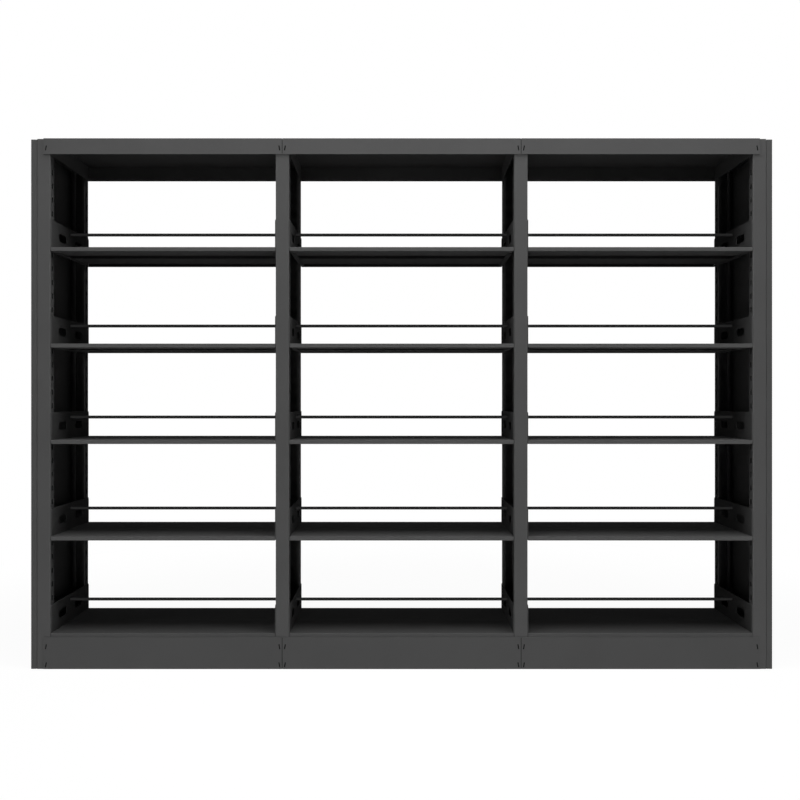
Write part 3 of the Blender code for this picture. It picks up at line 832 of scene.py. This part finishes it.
def build_end_panels(paint):
    """Build both end panels: trays of sheet, open to the rack."""
    def add_wall(modifiers):
        wall = modifiers.new("wall", "SOLIDIFY")
        wall.thickness = SHEET
        wall.offset = -1.0
        wall.use_even_offset = True

    for node, inward in (("end_panel_left", 1), ("end_panel_right", -1)):
        tray = finished(node, end_panel_skin(node, inward, paint), add_wall)
        show(node + "_sheet", eased(tray), "rack", [node])


def build_rack():
    """Build the whole rack from its trees and paints."""
    trees = rack_trees()
    # Each kind of piece gets its own copy of the one coat; their greys differ as painted light and shade
    paints = {name: powder_coat(name, grey) for name, grey in LIT_AND_SHADED_GREYS.items()}
    build_columns(trees, paints["column_powder_coat"])
    # Tongues and the plates behind the panel joints are near black: painted shade in the slits and joints
    build_tongues(trees, paints["cleat_black_paint"])
    build_joint_shade_plates(trees, paints["cleat_black_paint"])
    build_top_panels(trees, paints["top_panel_powder_coat"])
    build_bases(trees, paints["base_powder_coat"])
    build_brackets(trees, paints["bracket_powder_coat"], paints["rod_black_paint"])
    build_shelf_boards(trees, paints["shelf_powder_coat"])
    build_end_panels(paints["end_panel_powder_coat"])


# Stage: floor, light and camera

def seen_directly(tree):
    """Return a factor that is 1 for camera, mirror and see-through rays and 0 for light on its way round."""
    path = add(tree, "ShaderNodeLightPath", {})
    gloss = reckoned(tree, "MAXIMUM", path["Is Camera Ray"], path["Is Glossy Ray"])
    return reckoned(tree, "MAXIMUM", gloss, path["Is Transmission Ray"])


def build_world():
    """Surround the rack with plain white that lights it only faintly."""
    world = bpy.data.worlds.new("studio")
    world.use_nodes = True
    tree = world.node_tree
    tree.nodes.clear()
    soft = add(tree, "ShaderNodeBackground", {"Color": WHITE, "Strength": WORLD_LIGHT})[0]
    white = add(tree, "ShaderNodeBackground", {"Color": WHITE, "Strength": 1.0})[0]
    mix = add(tree, "ShaderNodeMixShader", {0: seen_directly(tree), 1: soft, 2: white})[0]
    add(tree, "ShaderNodeOutputWorld", {"Surface": mix})
    bpy.context.scene.world = world


def floor_finish():
    """Return the pale floor: to the eye white with the rack's soft shadow, to bounced light a pale grey."""
    finish = bpy.data.materials.new("pale_floor")
    finish.use_nodes = True
    tree = finish.node_tree
    tree.nodes.clear()
    place = add(tree, "ShaderNodeTexCoord", {})["Object"]
    distance = add(tree, "ShaderNodeVectorMath", {0: place}, operation="LENGTH")["Value"]
    fade = {"Value": distance, "From Min": SHADOW_FADES_FROM, "From Max": SHADOW_FADES_TO}
    far = add(tree, "ShaderNodeMapRange", fade, interpolation_type="SMOOTHSTEP")[0]
    shade = add(tree, "ShaderNodeBsdfDiffuse", {"Color": FLOOR_SHADE})[0]
    glow = add(tree, "ShaderNodeEmission", {"Color": WHITE, "Strength": FLOOR_GLOW})[0]
    near = add(tree, "ShaderNodeAddShader", {0: shade, 1: glow})[0]
    white = add(tree, "ShaderNodeEmission", {"Color": WHITE, "Strength": 1.0})[0]
    seen = add(tree, "ShaderNodeMixShader", {0: far, 1: near, 2: white})[0]
    bounce = add(tree, "ShaderNodeBsdfDiffuse", {"Color": FLOOR_BOUNCE})[0]
    mix = add(tree, "ShaderNodeMixShader", {0: seen_directly(tree), 1: bounce, 2: seen})[0]
    add(tree, "ShaderNodeOutputMaterial", {"Surface": mix})
    return finish


def build_floor():
    """Lay a wide pale floor under the rack."""
    bm = bmesh.new()
    bmesh.ops.create_grid(bm, x_segments=1, y_segments=1, size=FLOOR_REACH)
    mesh = bpy.data.meshes.new("floor")
    bm.to_mesh(mesh)
    bm.free()
    mesh.materials.append(floor_finish())
    floor = bpy.data.objects.new("floor", mesh)
    bpy.context.scene.collection.objects.link(floor)


def soft_light(name, place, aim, width, height, power):
    """Hang a soft rectangular light at a place, facing a point."""
    lamp = bpy.data.lights.new(name, "AREA")
    lamp.shape = "RECTANGLE"
    lamp.size = width
    lamp.size_y = height
    lamp.energy = power
    light = bpy.data.objects.new(name, lamp)
    light.location = place
    light.rotation_euler = (Vector(aim) - Vector(place)).to_track_quat("-Z", "Y").to_euler()
    bpy.context.scene.collection.objects.link(light)


def even_light(name, heading, rise, strength):
    """Light one side of the rack with parallel light, from a heading and a rise in degrees."""
    lamp = bpy.data.lights.new(name, "SUN")
    lamp.energy = strength
    lamp.angle = EVEN_LIGHT_SPREAD
    light = bpy.data.objects.new(name, lamp)
    light.rotation_euler = (math.radians(90 - rise), 0, math.radians(heading))
    light.visible_glossy = False
    bpy.context.scene.collection.objects.link(light)


def build_lights():
    """Light the four sides evenly, the decks and lips from above, and the columns' sides from beside."""
    even_light("front_light", heading=0.0, rise=4.0, strength=1.36)
    even_light("rear_light", heading=180.0, rise=0.5, strength=2.4)
    even_light("left_end_light", heading=-90.0, rise=0.5, strength=2.0)
    even_light("right_end_light", heading=90.0, rise=0.5, strength=2.0)
    soft_light("ceiling_strip", place=(0.25, -1.15, 3.6), aim=(0.25, -0.95, 0), width=3.2, height=1.0,
               power=54.0)
    soft_light("edge_strip", place=(0, -0.50, 3.6), aim=(0, -0.50, 0), width=4.0, height=0.4, power=26.0)
    for name, x in (("left_side_light", -SIDE_LIGHT_OUT), ("right_side_light", SIDE_LIGHT_OUT)):
        soft_light(name, place=(x, -2.33, 1.4), aim=(0, -COLUMN_FACE, 1.0), width=1.0, height=2.0, power=12.0)


def build_camera():
    """Set the camera level in front of the rack."""
    lens = bpy.data.cameras.new("camera")
    lens.lens = CAMERA_LENS
    lens.sensor_width = CAMERA_SENSOR
    camera = bpy.data.objects.new("camera", lens)
    camera.location = CAMERA_PLACE
    camera.rotation_euler = (math.pi / 2, 0, 0)
    bpy.context.scene.collection.objects.link(camera)
    bpy.context.scene.camera = camera


def build_stage():
    """Set the floor, the light round the rack and the camera."""
    build_world()
    build_floor()
    build_lights()
    build_camera()
    bpy.context.scene.view_settings.view_transform = "Standard"


build_rack()
build_stage()
